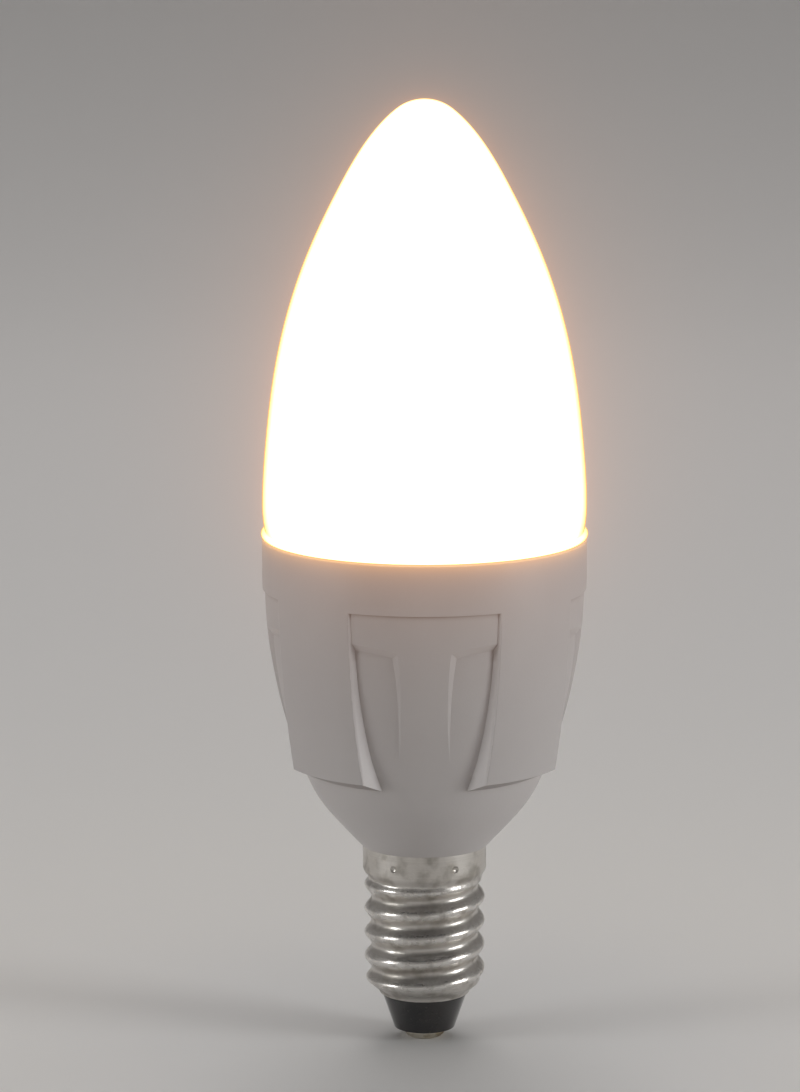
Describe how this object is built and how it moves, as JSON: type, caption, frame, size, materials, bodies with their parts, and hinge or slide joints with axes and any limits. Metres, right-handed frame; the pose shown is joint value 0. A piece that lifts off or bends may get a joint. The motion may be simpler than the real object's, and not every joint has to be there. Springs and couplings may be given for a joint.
{
  "type": "candle bulb",
  "caption": "Candle-shaped electric lamp with a lit opal cover, a finned white plastic housing and a small screw cap, built as an assembly with its light board and driver inside.",
  "frame": {"origin": "tip of the centre contact, on the lamp's axis, at the lowest point of the lamp", "axes": "+Z along the lamp's axis towards the tip of the cover; -Y looks out of one of the four pockets of the housing"},
  "size_m": [0.0372, 0.0372, 0.1085],
  "materials": {
    "opal_cover": "opal, lit warm white from inside",
    "housing_plastic": "satin moulded white",
    "sink_aluminium": "pressed, plain",
    "light_board_mask": "white solder mask on an aluminium core",
    "chip_case": "moulded white",
    "chip_phosphor": "yellow silicone",
    "screw_steel": "zinc plated",
    "red_insulation": "wire insulation",
    "black_insulation": "wire insulation",
    "solder": "bright tin solder",
    "circuit_board": "green solder mask",
    "can_sleeve": "shrink sleeve over an aluminium can",
    "ferrite": "sintered ferrite",
    "copper_wire": "enamelled copper",
    "film_case": "dipped",
    "black_case": "moulded package",
    "resistor_ceramic": "ceramic chip",
    "fuse_coating": "flameproof coating",
    "white_insulation": "wire insulation",
    "shell_nickel": "nickel-plated brass sheet, rolled",
    "cap_insulation": "moulded black",
    "contact_metal": "nickel-plated brass"
  },
  "bodies": {
    "root": {"diffuser": "opal_cover", "housing": "housing_plastic", "heat_sink": "sink_aluminium", "light_board": "light_board_mask", "light_chips": "chip_case", "chip_phosphors": "chip_phosphor", "board_screws": "screw_steel", "positive_wire": "red_insulation", "negative_wire": "black_insulation", "solder_joints": "solder", "driver_board": "circuit_board", "input_capacitor": "can_sleeve", "output_capacitor": "can_sleeve", "coil_core": "ferrite", "coil_winding": "copper_wire", "film_capacitor": "film_case", "bridge_rectifier": "black_case", "driver_chip": "black_case", "output_diode": "black_case", "small_resistors": "resistor_ceramic", "fuse_resistor": "fuse_coating", "live_wire": "black_insulation", "return_wire": "white_insulation", "screw_shell": "shell_nickel", "cap_insulator": "cap_insulation", "centre_contact": "contact_metal"}
  },
  "joints": []
}
